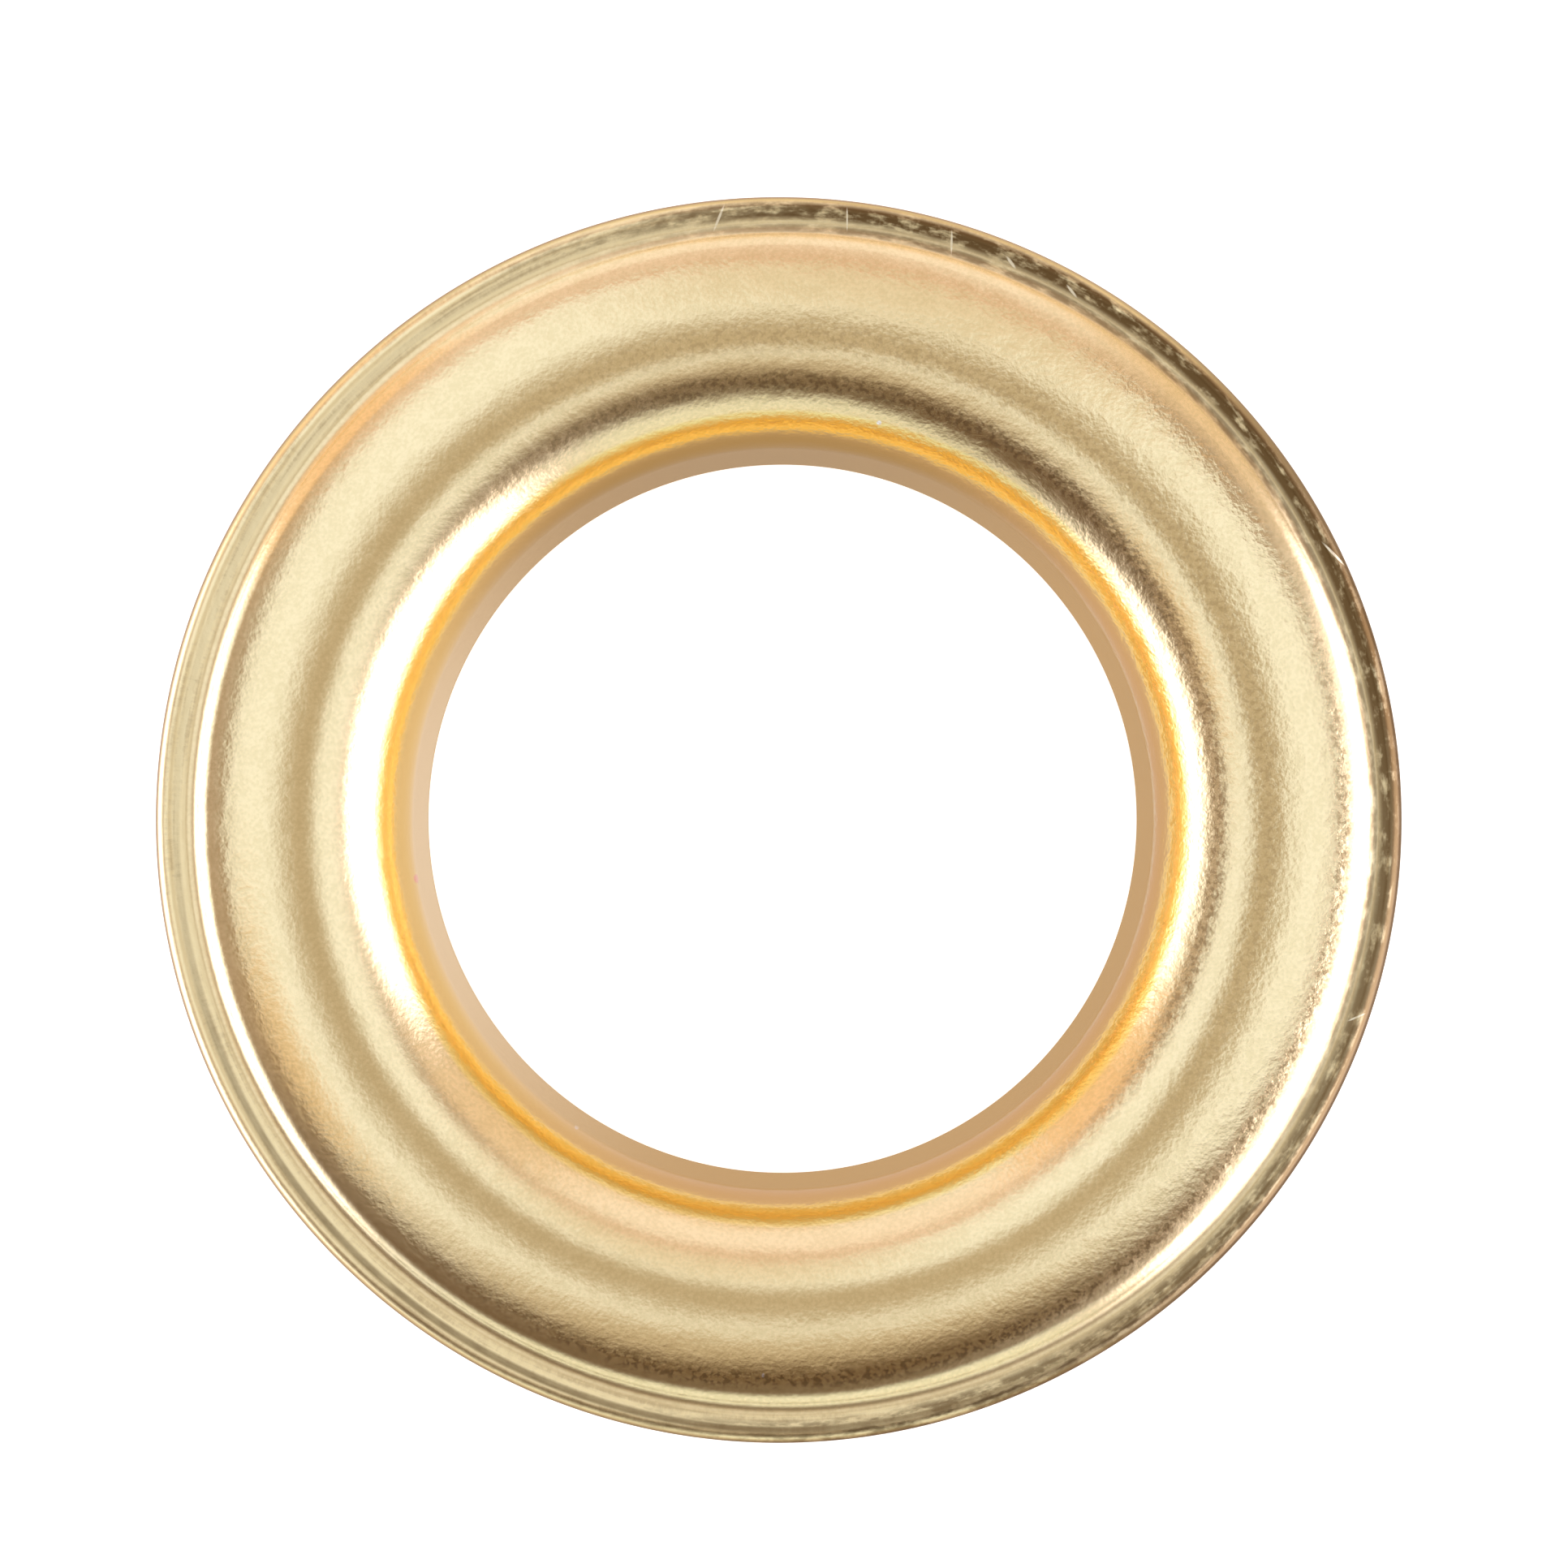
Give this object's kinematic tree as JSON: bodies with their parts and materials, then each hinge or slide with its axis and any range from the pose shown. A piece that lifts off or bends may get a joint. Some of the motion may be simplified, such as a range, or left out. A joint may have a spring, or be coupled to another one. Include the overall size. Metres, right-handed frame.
{
  "type": "grommet eyelet",
  "caption": "Domed brass eyelet pressed from one sheet: a wide rounded flange with a small rolled lip turns down into a straight open barrel.",
  "frame": {"origin": "centre of the barrel's cut end, where the eyelet stands", "axes": "+Z along the bore, from the barrel's cut end towards the domed show side"},
  "size_m": [0.02, 0.02, 0.0065],
  "materials": {
    "brass_sheet": "fine satin, rolled bright at the lip"
  },
  "bodies": {
    "root": {"eyelet": "brass_sheet"}
  },
  "joints": []
}
